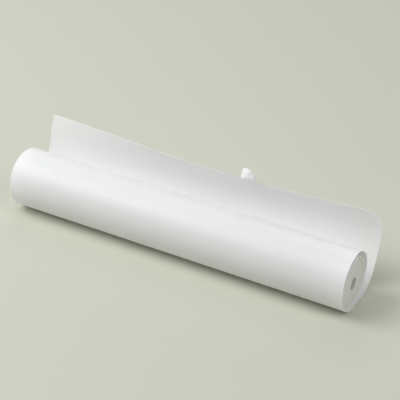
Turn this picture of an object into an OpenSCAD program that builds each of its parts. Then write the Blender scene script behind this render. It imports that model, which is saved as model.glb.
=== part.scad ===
// A coreless roll of thermal paper that lies on its side. Two outer turns have come loose, and the free end
// runs back along the surface and rises behind the roll. X runs along the roll, Y towards the back and Z up.
// The origin is on the surface, straight below the spindle hole and halfway along the roll.

/* [Roll] */
// Width of the paper, which is the length of the roll
paper_w = 210; // [100:0.5:300]
// Thickness of the paper
paper_t = 0.08; // [0.05:0.005:0.15]
// Diameter of the turns that are still tight
tight_d = 29.5; // [22:0.5:50]
// Diameter of the spindle hole, which has no core
hole_d = 7; // [5:0.5:12]
// Width of the flat that the roll's weight presses on its underside
flat_w = 5; // [2:0.5:8]

/* [End faces] */
// Bands of turns that stand slightly in or out of line on the end faces
bands = 9; // [3:1:14]
// How far a band of turns stands out of line
band_step = 0.22; // [0.05:0.01:0.5]

/* [Loose turns] */
// Room above the tight turns under the inner loose turn
inner_slack = 0.6; // [0.3:0.1:3]
// Room above the tight turns under the outer loose turn
outer_slack = 3.6; // [2:0.1:8]
// How far the inner loose turn has slid along the roll, towards +X
inner_slide = 0.3; // [0:0.1:2]
// How far the outer loose turn has slid above the tight turns
top_slide = 0.6; // [0:0.1:3]
// How far it has slid under them, where the free end leaves it
foot_slide = 1.5; // [0:0.1:4]

/* [Free end] */
// Length of the free end, from straight below the spindle hole to its cut edge
free_len = 61; // [52:0.5:75]
// Length of it that lies flat on the surface at the -X end
lift_left = 8.5; // [4:0.5:12]
// Length of it that lies flat on the surface at the +X end
lift_right = 12; // [4:0.5:14]
// Radius of the bend in which it rises from the surface
foot_r = 11; // [8:0.5:16]
// Lean of the sheet above that bend at the -X end, in degrees from level
foot_left = 86; // [70:1:90]
// The same at the middle, in degrees
foot_mid = 55; // [45:1:80]
// The same at the +X end, in degrees
foot_right = 58; // [50:1:85]
// Lean of the sheet at its cut edge at the -X end, in degrees from level
tip_left = 65; // [55:1:100]
// The same at the middle, in degrees
tip_mid = 112; // [70:1:115]
// The same at the +X end, in degrees
tip_right = 90; // [60:1:105]
// How far the cut edge has slid along the roll
edge_slide = 2.6; // [0:0.1:5]
// Length of the two sides of the corner that curls forward at the +X end
curl_len = 15; // [6:0.5:25]
// How far that corner curls, in degrees
curl_turn = 62; // [0:1:100]

/* [Torn seal] */
// Width of the scrap of seal left on the cut edge
seal_w = 7.5; // [4:0.5:20]
// Thickness of the seal
seal_t = 0.12; // [0.08:0.01:0.3]
// How far the scrap stands past the cut edge
seal_h = 6; // [2:0.1:8]
// Lean of the scrap past the cut edge, in degrees from level
seal_lean = 80; // [50:1:110]
// Length of the scrap that is stuck to the sheet below the cut edge
seal_foot = 2; // [1:0.1:5]
// Radius of the fold at its top
seal_bend = 1.3; // [0.5:0.1:2]
// Length of its torn tip, which hangs forward from the fold
seal_tip = 3.8; // [1:0.1:5]
// Depth of its creases
crease_h = 0.35; // [0:0.05:0.8]
// Distance of the scrap's middle from the middle of the roll
seal_x = 28; // [-60:1:60]
// Gap between the scrap and the sheet, which the glue fills
seal_gap = 0.25; // [0.2:0.05:0.4]

/* [Hidden] */
$fn = 128;
tight_r = tight_d / 2;
hole_r = hole_d / 2;
// Neighbouring turns bite into each other by a tenth of their thickness where the weight presses them
turn_pitch = 0.9 * paper_t;
flat_sag = tight_r - sqrt(pow(tight_r, 2) - pow(flat_w / 2, 2));
axis_z = tight_r + 2 * turn_pitch - flat_sag;
turn_step = 4;
// The inner loose turn dives this far into the tight turns, over the last stretch of its second lap
dive = 0.6;
dive_from = 620;
dive_to = 700;
// The level stretch that joins the loose turns to the rising sheet overlaps it by this much
join_y = 3;
join_lap = 1;
sheet_rows = 30;
sheet_columns = 16;
// The columns stand closer together towards the curled corner
column_crowding = 1.5;
seal_rows = 12;
seal_columns = 8;
fold_turn = 150;
// The seal stands highest at this share of its width, and its height, fold and tip shrink towards +X
seal_peak = 0.3;
seal_taper = 0.6;

// A value that passes smoothly through three given ones: at the -X end, the middle and the +X end
function across(left, mid, right, w) =
    left * (1 - w) * (1 - 2 * w) + mid * 4 * w * (1 - w) + right * w * (2 * w - 1);

// Position along the width of the paper, from 0 at the -X end to 1 at the +X end
function share(x) = (x + paper_w / 2) / paper_w;

// A smooth step from 0 to 1 as v goes from 0 to 1
function ease(v) = let (c = min(max(v, 0), 1)) c * c * (3 - 2 * c);

// Radius of the loose turns' outer side, at an angle that is 0 under the roll, 90 in front and 180 above it
function turn_r(angle) =
    tight_r + 2 * turn_pitch - turn_pitch * angle / 360
    + (angle < 360 ? outer_slack : inner_slack) * (1 - cos(angle)) / 2
    - dive * ease((angle - dive_from) / (dive_to - dive_from));

// A point of a loose turn, depth below its outer side, held up where it is pressed on what lies under it
function turn_point(angle, depth) =
    let (r = turn_r(angle) - depth, floor_z = (angle < 180 ? 0 : turn_pitch) + depth)
    [-r * sin(angle), max(axis_z - r * cos(angle), floor_z)];

// Outline of a loose turn's section, as a strip as thick as the paper
function turn_outline(from, to) = concat(
    [for (angle = [from:turn_step:to]) turn_point(angle, 0)],
    [for (angle = [to:-turn_step:from]) turn_point(angle, paper_t)]
);

// Extra bend of the corner that curls forward, past a line that crosses the corner at 45 degrees
function corner_curl(s, x) =
    curl_turn * pow(max(s - free_len + x - paper_w / 2 + curl_len, 0) / curl_len, 2);

// Lean of the free end at length s, at x along the paper's width, in degrees from level
function lean(s, x) =
    let (
        w = share(x),
        lift = lift_left + (lift_right - lift_left) * w,
        foot = across(foot_left, foot_mid, foot_right, w),
        tip = across(tip_left, tip_mid, tip_right, w),
        bend_len = foot_r * foot * PI / 180,
        above = (s - lift - bend_len) / (free_len - lift - bend_len)
    )
    s < lift ? 0
    : corner_curl(s, x) + (above < 0 ? (s - lift) / foot_r * 180 / PI : foot + (tip - foot) * above);

// Section of the free end's underside at x, as rows of [x, y, z, lean] from under the roll to its cut edge or
// another length
function sheet_section(x, rows, to = free_len) =
    let (ds = (to - join_y + join_lap) / rows)
    [
        for (
            i = 0, s = join_y - join_lap, y = s, z = 0;
            i <= rows;
            y = y + ds * cos(lean(s + ds / 2, x)),
            z = z + ds * sin(lean(s + ds / 2, x)),
            s = s + ds,
            i = i + 1
        )
        [x + foot_slide + (edge_slide - foot_slide) * s / free_len, y, z, lean(s, x)]
    ];

// A point of the sheet raised from its underside, at right angles to it
function raised(p, height) = [p[0], p[1] - height * sin(p[3]), p[2] + height * cos(p[3])];

// A thin closed solid between two grids of points
module slab(upper, lower) {
    rows = len(upper);
    columns = len(upper[0]);
    // Index of a point, with side 0 for the upper grid and 1 for the lower one
    function at(side, i, j) = (side * rows + i) * columns + j;
    function two(a, b, c, d) = [[a, b, c], [a, c, d]];
    faces = concat(
        [for (i = [0:rows - 2]) for (j = [0:columns - 2]) each
            two(at(0, i, j), at(0, i + 1, j), at(0, i + 1, j + 1), at(0, i, j + 1))],
        [for (i = [0:rows - 2]) for (j = [0:columns - 2]) each
            two(at(1, i, j), at(1, i, j + 1), at(1, i + 1, j + 1), at(1, i + 1, j))],
        [for (i = [0:rows - 2]) each two(at(0, i, 0), at(1, i, 0), at(1, i + 1, 0), at(0, i + 1, 0))],
        [for (i = [0:rows - 2]) let (j = columns - 1) each
            two(at(0, i, j), at(0, i + 1, j), at(1, i + 1, j), at(1, i, j))],
        [for (j = [0:columns - 2]) each two(at(0, 0, j), at(0, 0, j + 1), at(1, 0, j + 1), at(1, 0, j))],
        [for (j = [0:columns - 2]) let (i = rows - 1) each
            two(at(0, i, j), at(1, i, j), at(1, i, j + 1), at(0, i, j + 1))]
    );
    polyhedron(points = concat([for (row = upper) each row], [for (row = lower) each row]), faces = faces);
}

// The turns that are still tight, with bands of turns slightly out of line at both ends and a flat underneath
module tight_turns() {
    band_w = (tight_r - hole_r) / bands;
    // Each band is as wide as the paper, so it stands out at one end as far as it stands in at the other
    function shift(k) = k == 0 ? 0 : band_step * sin(k * 137.5);
    // Corner of a band, on its inner (0) or outer (1) edge, at the +X (1) or -X (-1) end
    function corner(k, edge, end) = [hole_r + (k + edge) * band_w, end * paper_w / 2 + shift(k)];
    outline = concat(
        [for (k = [0:bands - 1]) each [corner(k, 0, 1), corner(k, 1, 1)]],
        [for (k = [bands - 1:-1:0]) each [corner(k, 1, -1), corner(k, 0, -1)]]
    );
    difference() {
        translate([0, 0, axis_z]) rotate([0, 90, 0]) rotate_extrude() polygon(outline);
        translate([-paper_w, -paper_w, 2 * turn_pitch - paper_w]) cube([2 * paper_w, 2 * paper_w, paper_w]);
    }
}

// The inner loose turn, whose inner end dives into the tight turns
module inner_turn() {
    translate([inner_slide - paper_w / 2, 0, 0]) rotate([90, 0, 90]) linear_extrude(paper_w)
        polygon(turn_outline(360, dive_to));
}

// Half of the outer loose turn, from an angle on, with any children in the same section. Both ends are cut
// along a slanting plane, because it has slid by top_slide above the tight turns and by low_slide under them.
module outer_half(from, low_slide) {
    height = turn_r(180) + axis_z;
    slant = atan((low_slide - top_slide) / height);
    reach = paper_w + 2 * (height + low_slide + top_slide);
    intersection() {
        translate([-reach / 2, 0, 0]) rotate([90, 0, 90]) linear_extrude(reach) {
            polygon(turn_outline(from, from + 180));
            children();
        }
        translate([(low_slide + top_slide) / 2, 0, height / 2]) rotate([0, -slant, 0])
            cube([paper_w * cos(slant), 4 * height, 4 * height], center = true);
    }
}

// The outer loose turn, with the level stretch that leaves it under the roll
module outer_turn() {
    outer_half(0, foot_slide) square([join_y, paper_t]);
    outer_half(180, inner_slide);
}

// The free end, which is level at first and then rises behind the roll
module free_sheet() {
    function column_x(j) = paper_w * (0.5 - pow(1 - j / sheet_columns, column_crowding));
    sections = [for (j = [0:sheet_columns]) sheet_section(column_x(j), sheet_rows)];
    slab(
        [for (i = [0:sheet_rows]) [for (section = sections) raised(section[i], paper_t)]],
        [for (i = [0:sheet_rows]) [for (section = sections) raised(section[i], 0)]]
    );
}

module paper_roll() {
    color("whitesmoke") {
        tight_turns();
        inner_turn();
        outer_turn();
        free_sheet();
    }
}

// Run of the seal at distance s from its stuck end: how far it is in front of the sheet and past the cut edge
function seal_run(s, h, bend) =
    let (
        rise = seal_foot + h,
        turn = min(max(s - rise, 0) / bend * 180 / PI, fold_turn),
        hang = max(s - rise - bend * fold_turn * PI / 180, 0)
    )
    [
        seal_gap + bend * (1 - cos(turn)) + hang * sin(fold_turn),
        min(s, rise) - seal_foot + bend * sin(turn) + hang * cos(fold_turn)
    ];

// A point of the seal, at shares v of its length and w of its width, raised by height off its inner side
function seal_point(v, w, height) =
    let (
        h = seal_h * (1 - seal_taper * pow((w - seal_peak) / (1 - seal_peak), 2)),
        bend = seal_bend * (1 - seal_taper * w),
        tip = seal_tip * (1 - seal_taper * w),
        run = seal_run(v * (seal_foot + h + bend * fold_turn * PI / 180 + tip), h, bend),
        crease = crease_h * ease(run[1] / seal_h) * (1 + sin(w * 420 + v * 300)) / 2,
        x = seal_x + seal_w * (w - 0.5),
        base = sheet_section(x, sheet_rows, free_len + min(run[1], 0))[sheet_rows],
        free = max(run[1], 0),
        facing = base[3] + (seal_lean - base[3]) * ease(free / seal_bend),
        out = paper_t + run[0] + crease + height
    )
    [
        base[0],
        base[1] + free * cos(facing) - out * sin(facing),
        base[2] + free * sin(facing) + out * cos(facing)
    ];

// A scrap of the seal: stuck to the sheet, standing past its cut edge and folded forward at its crumpled tip
module torn_seal() {
    function side(height) =
        [for (i = [0:seal_rows]) [for (j = [0:seal_columns])
            seal_point(i / seal_rows, j / seal_columns, height)]];
    color("white") slab(side(seal_t), side(0));
}

paper_roll();
torn_seal();
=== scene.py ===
import math

import bpy
import numpy as np
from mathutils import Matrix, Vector


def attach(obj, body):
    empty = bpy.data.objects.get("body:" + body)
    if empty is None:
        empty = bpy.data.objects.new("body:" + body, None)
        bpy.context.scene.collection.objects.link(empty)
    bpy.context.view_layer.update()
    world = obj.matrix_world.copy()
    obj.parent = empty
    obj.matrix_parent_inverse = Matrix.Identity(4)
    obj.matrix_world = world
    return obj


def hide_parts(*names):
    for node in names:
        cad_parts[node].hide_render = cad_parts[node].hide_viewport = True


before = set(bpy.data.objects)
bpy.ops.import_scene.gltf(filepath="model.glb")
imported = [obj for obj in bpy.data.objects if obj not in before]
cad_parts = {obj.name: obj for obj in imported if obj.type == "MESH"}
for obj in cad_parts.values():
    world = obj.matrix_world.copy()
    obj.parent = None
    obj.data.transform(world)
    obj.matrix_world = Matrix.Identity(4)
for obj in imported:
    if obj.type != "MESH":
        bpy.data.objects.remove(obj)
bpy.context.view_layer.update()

# The looks of a coreless roll of thermal paper. The paper is one strip: the tight turns are a surface turned
# about the spindle hole, and all the rest is one long sheet, from the loose turns to the free end that rises
# behind the roll. The shapes repeat the formulas of the part's source, with finer steps and a few small forms
# that are named here alone. Lengths are in millimetres until a mesh is made, and the camera's and the lamps'
# distances are in metres.

MM = 0.001

# Paper and tight turns
PAPER_W = 210.0
PAPER_T = 0.08
TIGHT_R = 14.75
HOLE_R = 3.5
FLAT_W = 5.0
TURN_PITCH = 0.9 * PAPER_T
AXIS_Z = math.sqrt(TIGHT_R**2 - (FLAT_W / 2) ** 2) + 2 * TURN_PITCH
BANDS = 9
BAND_STEP = 0.22
GROOVE_R = 13.1
GROOVE_W = 0.26
GROOVE_D = 0.8
RIPPLE = 0.02

# Loose turns
INNER_SLACK = 0.6
OUTER_SLACK = 3.6
INNER_SLIDE = 0.3
TOP_SLIDE = 0.6
FOOT_SLIDE = 1.5
LEFT_FLARE = 0.9
DIVE = 0.6
DIVE_FROM = 620.0
DIVE_TO = 700.0

# Free end
FREE_LEN = 61.0
LIFT = (8.5, 12.0)
FOOT_R = 11.0
FOOT_LEAN = (86.0, 55.0, 58.0)
TIP_LEAN = (65.0, 112.0, 90.0)
EDGE_SLIDE = 2.6
CURL_LEN = 15.0
CURL_TURN = 62.0
EDGE_BURR = 0.15
BURR_W = 0.5

# Torn seal
SEAL_W = 7.5
SEAL_T = 0.12
SEAL_H = 6.0
SEAL_LEAN = 80.0
SEAL_FOOT = 2.0
SEAL_BEND = 1.3
SEAL_TIP = 3.8
SEAL_X = 28.0
SEAL_GAP = 0.25
SEAL_PEAK = 0.3
SEAL_TAPER = 0.6
SEAL_NOTCH = 0.8
BEND_TAPER = 0.2
TIP_SHARE = (1.4, 0.5)
FOLD_TURN = 150.0
CREASE_H = 0.35
CRUMPLE_H = 0.20
SIDE_WAVE = 0.12


def ease(v):
    """A smooth step from 0 to 1: 3v^2 - 2v^3, with v held between 0 and 1."""
    c = np.clip(v, 0.0, 1.0)
    return c * c * (3.0 - 2.0 * c)


def across(values, w):
    """The parabola through three values, at w = 0, 0.5 and 1 along the paper's width."""
    left, mid, right = values
    return left * (1 - w) * (1 - 2 * w) + mid * 4 * w * (1 - w) + right * w * (2 * w - 1)


# Meshes


def grid_faces(rows, columns, start=0, wrap_rows=False, wrap_columns=False):
    """Quads between neighbours of a rows x columns grid of points, numbered row by row from start."""
    i = np.arange(rows if wrap_rows else rows - 1)[:, None]
    j = np.arange(columns if wrap_columns else columns - 1)[None, :]
    i_next = (i + 1) % rows
    j_next = (j + 1) % columns
    corners = [i * columns + j, i_next * columns + j, i_next * columns + j_next, i * columns + j_next]
    return start + np.stack([c + 0 * (i + j) for c in corners], axis=-1).reshape(-1, 4)


def make_piece(name, points, faces, materials, face_material):
    """A mesh object from points in millimetres and quads, with a material number for each quad."""
    mesh = bpy.data.meshes.new(name)
    mesh.vertices.add(len(points))
    mesh.vertices.foreach_set("co", (points * MM).astype(np.float32).ravel())
    mesh.loops.add(faces.size)
    mesh.loops.foreach_set("vertex_index", faces.astype(np.int32).ravel())
    mesh.polygons.add(len(faces))
    mesh.polygons.foreach_set("loop_start", np.arange(0, faces.size, 4, dtype=np.int32))
    mesh.update(calc_edges=True)
    for material in materials:
        mesh.materials.append(material)
    mesh.polygons.foreach_set("material_index", face_material.astype(np.int32))
    mesh.polygons.foreach_set("use_smooth", np.ones(len(faces), dtype=bool))
    mesh.validate()
    piece = bpy.data.objects.new(name, mesh)
    bpy.context.scene.collection.objects.link(piece)
    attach(piece, "root")
    return piece


def closed_slab(outer, inner):
    """Points and quads of a thin closed sheet between two grids.

    Also says of each quad whether it is on the outer side (0), the inner side (1) or the edge (2).
    """
    rows, columns = outer.shape[:2]
    points = np.concatenate([outer.reshape(-1, 3), inner.reshape(-1, 3)])
    far = rows * columns
    top = grid_faces(rows, columns)
    under = grid_faces(rows, columns, start=far)[:, ::-1]
    first_row = np.arange(columns)
    last_row = first_row + (rows - 1) * columns
    first_column = np.arange(rows) * columns
    last_column = first_column + columns - 1
    rims = []
    for line, turned in ((first_row, False), (last_row, True), (first_column, True), (last_column, False)):
        a, b = line[:-1], line[1:]
        quad = np.stack([a, b, b + far, a + far], axis=-1)
        rims.append(quad[:, ::-1] if turned else quad)
    rim = np.concatenate(rims)
    kinds = np.concatenate([np.full(len(top), 0), np.full(len(under), 1), np.full(len(rim), 2)])
    return points, np.concatenate([top, under, rim]), kinds


# Shape of the paper


def turn_section(angle, depth, w):
    """Points of a loose turn's section, at an angle of 0 under the roll, 90 in front of it and 180 above it.

    The outer side's radius is the tight turns' radius, plus what is left of two pitches, plus the slack times
    (1 - cos) / 2, less the dive of the inner end into the tight turns. The outer turn's slack grows towards
    the -X end, by the fifth power of the distance from the other end. Depth is measured in from the outer
    side, and the turn is held up where it is pressed on the turn or the surface below.
    """
    turn = np.radians(angle)
    outer_slack = OUTER_SLACK + LEFT_FLARE * (1 - w) ** 5
    slack = np.where(angle < 360, outer_slack, INNER_SLACK) * (1 - np.cos(turn)) / 2
    r = TIGHT_R + 2 * TURN_PITCH - TURN_PITCH * angle / 360 + slack - depth
    r = r - DIVE * ease((angle - DIVE_FROM) / (DIVE_TO - DIVE_FROM))
    rest = np.where(angle < 180, 0.0, TURN_PITCH) + depth
    return -r * np.sin(turn), np.maximum(AXIS_Z - r * np.cos(turn), rest)


def sheet_lean(s, x):
    """Lean of the free end from level, in radians, at length s and place x along the paper's width.

    It is level up to its lift, turns up round the foot's radius, then goes evenly from the foot's lean to
    the tip's. Past a line across the corner at the +X end it curls further, by the square of the distance.
    """
    w = x / PAPER_W + 0.5
    lift = LIFT[0] + (LIFT[1] - LIFT[0]) * w
    foot = across(FOOT_LEAN, w)
    tip = across(TIP_LEAN, w)
    bend_len = FOOT_R * np.radians(foot)
    above = (s - lift - bend_len) / (FREE_LEN - lift - bend_len)
    lean = np.where(above < 0, np.degrees(np.maximum(s - lift, 0) / FOOT_R), foot + (tip - foot) * above)
    curl = CURL_TURN * (np.maximum(s - FREE_LEN + x - PAPER_W / 2 + CURL_LEN, 0) / CURL_LEN) ** 2
    return np.radians(lean + curl)


def free_section(x, rows):
    """Outer side of the free end: y and z are the running sums of cos and sin of its lean along s."""
    s = np.linspace(0, FREE_LEN, rows)[:, None]
    ds = FREE_LEN / (rows - 1)
    lean = sheet_lean(s[1:] - ds / 2, x)
    start = np.zeros((1, x.size))
    y = np.concatenate([start, np.cumsum(ds * np.cos(lean), axis=0)])
    z = np.concatenate([start, np.cumsum(ds * np.sin(lean), axis=0)])
    shift = FOOT_SLIDE + (EDGE_SLIDE - FOOT_SLIDE) * s / FREE_LEN
    return np.stack([x + shift, y, z], axis=-1), sheet_lean(s, x)


def turn_slide(angle):
    """How far a loose turn has slid towards +X: most under the roll, where the free end leaves it.

    Over each half of the outer turn it goes from the slide underneath to the one on top, by (1 - cos) / 2.
    """
    low = np.where(angle < 180, FOOT_SLIDE, INNER_SLIDE)
    outer = low + (TOP_SLIDE - low) * (1 - np.cos(np.radians(angle))) / 2
    return np.where(angle < 360, outer, INNER_SLIDE)


def burr(x):
    """How far the knife has turned the paper's two long edges forward: an exponential from the edge in."""
    return EDGE_BURR * np.exp((np.abs(x) - PAPER_W / 2) / BURR_W)


def loose_sheet_grids(turn_rows=350, free_rows=124, columns=74):
    """Outer and inner side of the loose sheet, row by row from its inner end to its cut edge."""
    x = PAPER_W / 2 * np.sin(np.linspace(-math.pi / 2, math.pi / 2, columns))[None, :]
    angle = np.linspace(DIVE_TO, 0, turn_rows, endpoint=False)[:, None]
    row_s = np.linspace(0, FREE_LEN, free_rows)[:, None]
    sides = []
    for depth in (0.0, PAPER_T):
        y, z = turn_section(angle, depth, x / PAPER_W + 0.5)
        turns = np.stack([x + turn_slide(angle), y, z + 0 * x], axis=-1)
        free, lean = free_section(x, free_rows)
        forward = np.stack([0 * lean, -np.sin(lean), np.cos(lean)], axis=-1)
        free = free + (depth + burr(x) * ease((row_s - LIFT[1]) / FOOT_R))[..., None] * forward
        sides.append(np.concatenate([turns, free]))
    return sides[0], sides[1]


def end_relief(r, turn):
    """How far the end of a turn stands out of line: whole bands of turns, and within them a slow ripple.

    The ripple follows the spiral, as a sum of sines. Where a turn has come loose from the one within it there
    is a groove, a bell curve that is deepest at the top.
    """
    band = np.floor((r - HOLE_R) / (TIGHT_R - HOLE_R) * BANDS * 0.9999)
    phase = (r - HOLE_R) / TURN_PITCH + turn / (2 * math.pi)
    ripple = 0.5 * np.sin(phase * 0.71) + 0.3 * np.sin(phase * 0.293 + 1.3)
    ripple = ripple + 0.2 * np.sin(phase * 1.13 + 4.0)
    step = BAND_STEP * np.sin(np.radians(band * 137.5)) * (band / (BANDS - 1)) ** 2
    groove = GROOVE_D * np.exp(-(((r - GROOVE_R) / GROOVE_W) ** 2)) * (0.6 - 0.4 * np.cos(turn))
    return step + RIPPLE * ripple - groove


def tight_turns_grid(rings=121, columns=256, along=30):
    """The tight turns: a closed profile, turned about the hole's axis, with the underside pressed flat.

    The profile goes out across an end, along the outside, in across the other end and back in the hole.
    """
    turn = np.linspace(0, 2 * math.pi, columns, endpoint=False)[None, :]
    face_r = np.linspace(HOLE_R, TIGHT_R, rings)[:, None]
    face_x = PAPER_W / 2 + end_relief(face_r, turn)
    share = np.linspace(0, 1, along + 2)[1:-1, None]
    outside_x = face_x[-1] - share * PAPER_W
    hole_x = face_x[0] - PAPER_W + share * PAPER_W
    x = np.concatenate([face_x, outside_x, face_x[::-1] - PAPER_W, hole_x])
    r = np.concatenate([
        face_r + 0 * turn,
        np.full((along, columns), TIGHT_R),
        face_r[::-1] + 0 * turn,
        np.full((along, columns), HOLE_R),
    ])
    y = -r * np.sin(turn)
    z = np.maximum(AXIS_Z - r * np.cos(turn), 2 * TURN_PITCH)
    return np.stack([x, y, z], axis=-1), rings, along


def seal_base(x, below, rows=245):
    """Points and lean of the free end's outer side at places x, at lengths below the cut edge (0 or less)."""
    section, lean = free_section(x[None, :], rows)
    s = np.linspace(0, FREE_LEN, rows)
    row = np.clip((FREE_LEN + below) / (s[1] - s[0]), 0, rows - 1 - 1e-9)
    low, part = row.astype(int), row % 1
    column = np.arange(x.size)[None, :] + 0 * low
    point = section[low, column] * (1 - part[..., None]) + section[low + 1, column] * part[..., None]
    return point, lean[low, column] * (1 - part) + lean[low + 1, column] * part


def seal_grids(rows=49, columns=37):
    """The two sides of the torn seal: a stuck foot, a standing part, a fold round the top and a hanging tip.

    Along v it follows a straight run, an arc and a straight tip, and across w its height, fold and tip
    shrink towards +X. Creases and crumples are sines of both, the tip is torn off unevenly, and the foot's
    -X side is torn in.
    """
    v = np.linspace(0, 1, rows)[:, None]
    w = np.linspace(0, 1, columns)[None, :]
    h = SEAL_H * (1 - SEAL_TAPER * ((w - SEAL_PEAK) / (1 - SEAL_PEAK)) ** 2)
    bend = SEAL_BEND * (1 - BEND_TAPER * w)
    tear = 1 + 0.10 * np.sin(w * 21 - 3.0) + 0.06 * np.sin(w * 47 + 2.0)
    tip = SEAL_TIP * (TIP_SHARE[0] + (TIP_SHARE[1] - TIP_SHARE[0]) * w) * tear
    fold = math.radians(FOLD_TURN)
    s = v * (SEAL_FOOT + h + bend * fold + tip)
    rise = SEAL_FOOT + h
    turn = np.clip((s - rise) / bend, 0, fold)
    hang = np.maximum(s - rise - bend * fold, 0)
    forward = SEAL_GAP + bend * (1 - np.cos(turn)) + hang * math.sin(fold)
    past = np.minimum(s, rise) - SEAL_FOOT + bend * np.sin(turn) + hang * math.cos(fold)
    loose = ease(past / SEAL_H)
    crease = CREASE_H * loose * (1 + np.sin(np.radians(w * 420 + v * 300))) / 2
    waves = np.abs(np.sin(w * 7.5 + v * 9.0)) - np.abs(np.sin(w * 12.0 - v * 15.0 + 0.7))
    crumple = CRUMPLE_H * loose * waves
    x = SEAL_X + SEAL_W * (w - 0.5)
    torn_in = SEAL_NOTCH * (1 - loose) * (1 - w) ** 2
    base, lean = seal_base(x[0], np.minimum(past, 0))
    free = np.maximum(past, 0)
    facing = lean + (math.radians(SEAL_LEAN) - lean) * ease(free / SEAL_BEND)
    sides = []
    for height in (0.0, SEAL_T):
        out = PAPER_T + forward + crease + crumple + height
        shift = np.stack([
            SIDE_WAVE * loose * np.sin(v * 19) + torn_in,
            free * np.cos(facing) - out * np.sin(facing),
            free * np.sin(facing) + out * np.cos(facing),
        ], axis=-1)
        sides.append(base + shift)
    return sides[1], sides[0]


# Finishes

# Height of a finish's fine relief at full strength
BUMP_H = 0.04


class Nodes:
    """Adds shader nodes to a tree from left to right and links them by name."""

    def __init__(self, tree):
        self.tree = tree

    def add(self, kind, inputs=None, **settings):
        node = self.tree.nodes.new(kind)
        node.location = (220 * len(self.tree.nodes), 0)
        for key, value in settings.items():
            setattr(node, key, value)
        for key, value in (inputs or {}).items():
            if isinstance(value, bpy.types.NodeSocket):
                self.tree.links.new(value, node.inputs[key])
            else:
                node.inputs[key].default_value = value
        return node

    def math(self, operation, a, b=0.0):
        return self.add("ShaderNodeMath", {0: a, 1: b}, operation=operation).outputs[0]

    def spread(self, value, low, high):
        """Takes 0 to 1 onto low to high."""
        return self.add("ShaderNodeMapRange", {"Value": value, "To Min": low, "To Max": high}).outputs[0]


def new_group(name, inputs, outputs):
    """A node group with named sockets, and its input and output nodes."""
    group = bpy.data.node_groups.new(name, "ShaderNodeTree")
    for in_out, sockets in (("INPUT", inputs), ("OUTPUT", outputs)):
        for label, kind in sockets:
            group.interface.new_socket(name=label, in_out=in_out, socket_type="NodeSocket" + kind)
    n = Nodes(group)
    return group, n, n.add("NodeGroupInput"), n.add("NodeGroupOutput")


def paper_fibre_group():
    """Cloudy formation, fine fibres and faint streaks round the roll, as a colour, roughness and height."""
    group, n, given, out = new_group(
        "paper fibre",
        [("Vector", "Vector"), ("Colour", "Color"), ("Mottle", "Float"), ("Roughness", "Float")],
        [("Colour", "Color"), ("Roughness", "Float"), ("Height", "Float")],
    )
    cloud = n.add("ShaderNodeTexNoise", {"Vector": given.outputs["Vector"], "Scale": 320.0, "Detail": 3.0})
    fibre = n.add("ShaderNodeTexNoise", {"Vector": given.outputs["Vector"], "Scale": 2600.0, "Detail": 4.0})
    apart = n.add("ShaderNodeSeparateXYZ", {0: given.outputs["Vector"]})
    streak = n.add("ShaderNodeTexNoise", {"W": apart.outputs["X"], "Scale": 190.0, "Detail": 5.0},
                   noise_dimensions="1D")
    coarse = n.math("MULTIPLY", cloud.outputs["Fac"], 0.4)
    mixed = n.math("ADD", coarse, n.math("MULTIPLY", fibre.outputs["Fac"], 0.35))
    mixed = n.math("ADD", mixed, n.math("MULTIPLY", streak.outputs["Fac"], 0.25))
    swing = n.math("MULTIPLY", n.math("SUBTRACT", mixed, 0.5), given.outputs["Mottle"])
    shade = n.add("ShaderNodeVectorMath", {0: given.outputs["Colour"], "Scale": n.math("ADD", swing, 1.0)},
                  operation="SCALE")
    n.tree.links.new(shade.outputs["Vector"], out.inputs["Colour"])
    rough = n.math("ADD", given.outputs["Roughness"], n.math("MULTIPLY", swing, 1.5))
    n.tree.links.new(rough, out.inputs["Roughness"])
    height = n.math("ADD", mixed, n.math("MULTIPLY", fibre.outputs["Fac"], 0.6))
    n.tree.links.new(height, out.inputs["Height"])
    return group


def new_material(name, colour, roughness, mottle, bump, fibre, specular=0.5, scatter=0.0):
    """Paper: the fibre group drives a Principled shader's colour, roughness and bump.

    Thin paper also lets through a share of the light, which its fibres scatter over a number of times its
    thickness.
    """
    material = bpy.data.materials.new(name)
    material.use_nodes = True
    material.node_tree.nodes.clear()
    n = Nodes(material.node_tree)
    place = n.add("ShaderNodeTexCoord")
    grain = n.add("ShaderNodeGroup", node_tree=fibre)
    n.tree.links.new(place.outputs["Object"], grain.inputs["Vector"])
    grain.inputs["Colour"].default_value = (*colour, 1.0)
    grain.inputs["Mottle"].default_value = mottle
    grain.inputs["Roughness"].default_value = roughness
    relief = n.add("ShaderNodeBump", {
        "Strength": bump, "Distance": BUMP_H * MM, "Height": grain.outputs["Height"]})
    shader = n.add("ShaderNodeBsdfPrincipled", {
        "Base Color": grain.outputs["Colour"],
        "Roughness": grain.outputs["Roughness"],
        "Normal": relief.outputs["Normal"],
        "Specular IOR Level": specular,
    })
    if scatter:
        shader.inputs["Subsurface Weight"].default_value = 1.0
        shader.inputs["Subsurface Radius"].default_value = (1.0, 1.0, 1.0)
        shader.inputs["Subsurface Scale"].default_value = scatter * PAPER_T * MM
    n.add("ShaderNodeOutputMaterial", {"Surface": shader.outputs[0]})
    return material, n, place, grain, relief, shader


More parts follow.
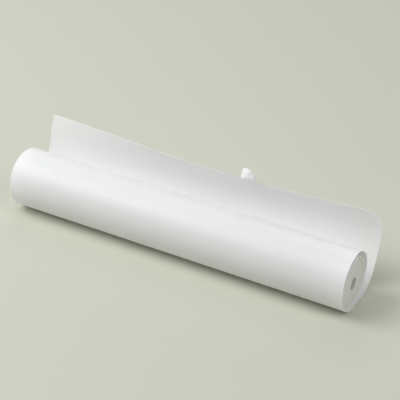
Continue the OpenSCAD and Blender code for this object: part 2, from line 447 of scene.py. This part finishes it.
def wound_ends_material(fibre):
    """The stacked edges of the turns, in darker and lighter groups, with a painted highlight on the rim of
    outermost turns.

    There is a fine ridge for each turn, along the spiral, and painted shade darkens the crevice between
    neighbouring turns.
    """
    material, n, place, grain, relief, shader = new_material(
        "wound ends", (0.88, 0.885, 0.85), 0.75, 0.10, 0.35, fibre, 0.3)
    apart = n.add("ShaderNodeSeparateXYZ", {0: place.outputs["Object"]})
    up = n.math("SUBTRACT", apart.outputs["Z"], AXIS_Z * MM)
    across_squared = n.math("MULTIPLY", apart.outputs["Y"], apart.outputs["Y"])
    squares = n.math("ADD", across_squared, n.math("MULTIPLY", up, up))
    radius = n.math("SQRT", squares)
    round_ = n.math("DIVIDE", n.math("ARCTAN2", apart.outputs["Y"], up), 2 * math.pi)
    turns = n.math("ADD", n.math("DIVIDE", radius, TURN_PITCH * MM), round_)
    group = n.add("ShaderNodeTexNoise", {"W": turns, "Scale": 0.11, "Detail": 4.0, "Roughness": 0.75},
                  noise_dimensions="1D")
    single = n.add("ShaderNodeTexNoise", {"W": turns, "Scale": 0.9, "Detail": 2.0}, noise_dimensions="1D")
    ridge = n.math("ABSOLUTE", n.math("SINE", n.math("MULTIPLY", turns, math.pi)))
    coarse = n.math("MULTIPLY", group.outputs["Fac"], 0.65)
    tone = n.math("ADD", coarse, n.math("MULTIPLY", single.outputs["Fac"], 0.35))
    shade = n.spread(tone, 0.90, 1.07)
    # Painted shade: the colour dips between neighbouring turns, where the narrow crevice would lie in shade.
    seam_painted_shade = n.spread(ridge, 0.92, 1.02)
    # Painted highlight: the outermost turns are lightened, standing in for the light that they catch at the
    # rim of the end face.
    rim = n.add("ShaderNodeMapRange", {
        "Value": radius, "From Min": (TIGHT_R - 0.55) * MM, "From Max": (TIGHT_R - 0.15) * MM,
        "To Min": 1.0, "To Max": 1.09}).outputs[0]
    lit = n.math("MULTIPLY", n.math("MULTIPLY", shade, seam_painted_shade), rim)
    tint = n.add("ShaderNodeVectorMath", {0: grain.outputs["Colour"], "Scale": lit}, operation="SCALE")
    n.tree.links.new(tint.outputs["Vector"], shader.inputs["Base Color"])
    height = n.math("ADD", n.math("MULTIPLY", tone, 2.0), n.math("MULTIPLY", ridge, 0.5))
    height = n.math("ADD", height, n.math("MULTIPLY", grain.outputs["Height"], 0.3))
    n.tree.links.new(height, relief.inputs["Height"])
    return material


fibre = paper_fibre_group()
tight_paper = new_material("tight paper", (0.985, 0.985, 0.985), 0.46, 0.05, 0.10, fibre)[0]
# The hole wall's grey colour is painted shade: it stands in for the dimness deep inside the narrow spindle
# hole, where the paper is as white as elsewhere.
hole_wall_painted_shade = new_material("hole wall painted shade", (0.62, 0.625, 0.605), 0.80, 0.12, 0.20, fibre, 0.2)[0]
coated_side = new_material("thermal coating", (0.888, 0.892, 0.912), 0.46, 0.03, 0.10, fibre, scatter=1.5)[0]
plain_side = new_material("plain side", (0.985, 0.985, 0.985), 0.62, 0.03, 0.16, fibre, 0.4, scatter=3.0)[0]
cut_edge = new_material("cut edge", (0.965, 0.965, 0.96), 0.70, 0.04, 0.20, fibre, 0.3, scatter=1.5)[0]
wound_ends = wound_ends_material(fibre)
seal_paper = new_material("seal paper", (0.965, 0.970, 0.955), 0.68, 0.03, 0.40, fibre, 0.4, scatter=1.5)[0]

# Pieces

grid, rings, along = tight_turns_grid()
rows, columns = grid.shape[:2]
faces = grid_faces(rows, columns, wrap_rows=True, wrap_columns=True)
row_of_face = np.repeat(np.arange(rows), columns)
on_end = (row_of_face < rings - 1) | ((row_of_face >= rings + along) & (row_of_face < 2 * rings + along - 1))
in_hole = row_of_face >= 2 * rings + along - 1
tight_turns = make_piece(
    "tight_turns", grid.reshape(-1, 3), faces, [tight_paper, wound_ends, hole_wall_painted_shade],
    np.where(on_end, 1, np.where(in_hole, 2, 0)))

outer, inner = loose_sheet_grids()
points, faces, kinds = closed_slab(outer, inner)
loose_sheet = make_piece(
    "loose_sheet", points, faces, [coated_side, plain_side, cut_edge], kinds)

outer, inner = seal_grids()
points, faces, kinds = closed_slab(outer, inner)
torn_seal = make_piece("seal_scrap", points, faces, [seal_paper], 0 * kinds)

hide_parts("paper_roll")
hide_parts("paper_roll")
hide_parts("torn_seal")

# Camera: at the photograph's angle, as fitted to the outline of the roll

AZIMUTH, ELEVATION = math.radians(29.25), math.radians(33.48)
AIM = Vector((12.8, 0.0, 37.6)) * MM
CAMERA_DISTANCE = 0.690
TOWARDS = Vector((
    -math.sin(AZIMUTH) * math.cos(ELEVATION),
    math.cos(AZIMUTH) * math.cos(ELEVATION),
    -math.sin(ELEVATION),
))
camera = bpy.data.objects.new("camera", bpy.data.cameras.new("camera"))
camera.data.lens = 114.03
camera.data.sensor_width = 36.0
camera.data.clip_start = 0.01
camera.location = AIM - TOWARDS * CAMERA_DISTANCE
camera.rotation_euler = TOWARDS.to_track_quat("-Z", "Y").to_euler()
bpy.context.scene.collection.objects.link(camera)
bpy.context.scene.camera = camera

# Floor, light and background

FLOOR_COLOUR = (0.622, 0.643, 0.550)
FLOOR_GAP = 0.02
LAMP_DISTANCE = 1.2


def floor_surface(size=3000.0, cells=60):
    """A level square grid just under the roll."""
    line = np.linspace(-size / 2, size / 2, cells + 1)
    x, y = np.meshgrid(line, line, indexing="ij")
    return np.stack([x, y, np.full_like(x, -FLOOR_GAP)], axis=-1)


floor_mesh = bpy.data.meshes.new("floor")
floor_points = floor_surface()
floor_mesh.from_pydata(
    (floor_points.reshape(-1, 3) * MM).tolist(), [], grid_faces(*floor_points.shape[:2]).tolist())
floor = bpy.data.objects.new("floor", floor_mesh)
bpy.context.scene.collection.objects.link(floor)
floor_finish = new_material("floor", FLOOR_COLOUR, 0.85, 0.02, 0.05, fibre, 0.2)[0]
floor_mesh.materials.append(floor_finish)



def soft_lamp(name, azimuth, elevation, size, power):
    """A square area lamp that faces the roll. Azimuth is 0 in front of the roll and 90 past its +X end."""
    turn, rise = math.radians(azimuth), math.radians(elevation)
    place = LAMP_DISTANCE * Vector((
        math.sin(turn) * math.cos(rise), -math.cos(turn) * math.cos(rise), math.sin(rise)))
    lamp = bpy.data.objects.new(name, bpy.data.lights.new(name, "AREA"))
    lamp.data.shape = "SQUARE"
    lamp.data.size = size
    lamp.data.energy = power
    lamp.location = place
    lamp.rotation_euler = (-place).to_track_quat("-Z", "Y").to_euler()
    bpy.context.scene.collection.objects.link(lamp)
    return lamp


soft_lamp("left softbox", -63, 46, 0.8, 9.1)
soft_lamp("top softbox", -20, 75, 0.6, 1.6)
soft_lamp("right softbox", 84, 47, 0.6, 3.2)
soft_lamp("rear left softbox", 212, 45, 0.6, 1.6)
soft_lamp("rear softbox", 182, 15, 0.6, 1.6)

world = bpy.data.worlds.new("studio")
bpy.context.scene.world = world
world.use_nodes = True
world.node_tree.nodes.clear()
n = Nodes(world.node_tree)
path = n.add("ShaderNodeLightPath")
sky = n.add("ShaderNodeBackground", {"Color": (1.0, 1.0, 1.0, 1.0), "Strength": 0.20})
backdrop = n.add("ShaderNodeBackground", {"Color": (0.62, 0.65, 0.55, 1.0), "Strength": 1.0})
seen = n.math("MAXIMUM", path.outputs["Is Camera Ray"], path.outputs["Is Glossy Ray"])
seen = n.math("MAXIMUM", seen, path.outputs["Is Transmission Ray"])
both = n.add("ShaderNodeMixShader", {
    0: seen, 1: sky.outputs[0], 2: backdrop.outputs[0]})
n.add("ShaderNodeOutputWorld", {"Surface": both.outputs[0]})

bpy.context.scene.view_settings.view_transform = "Standard"
# In the narrow gaps between sheets of white paper, light goes to and fro many times
bpy.context.scene.cycles.diffuse_bounces = 16
bpy.context.scene.cycles.max_bounces = 16
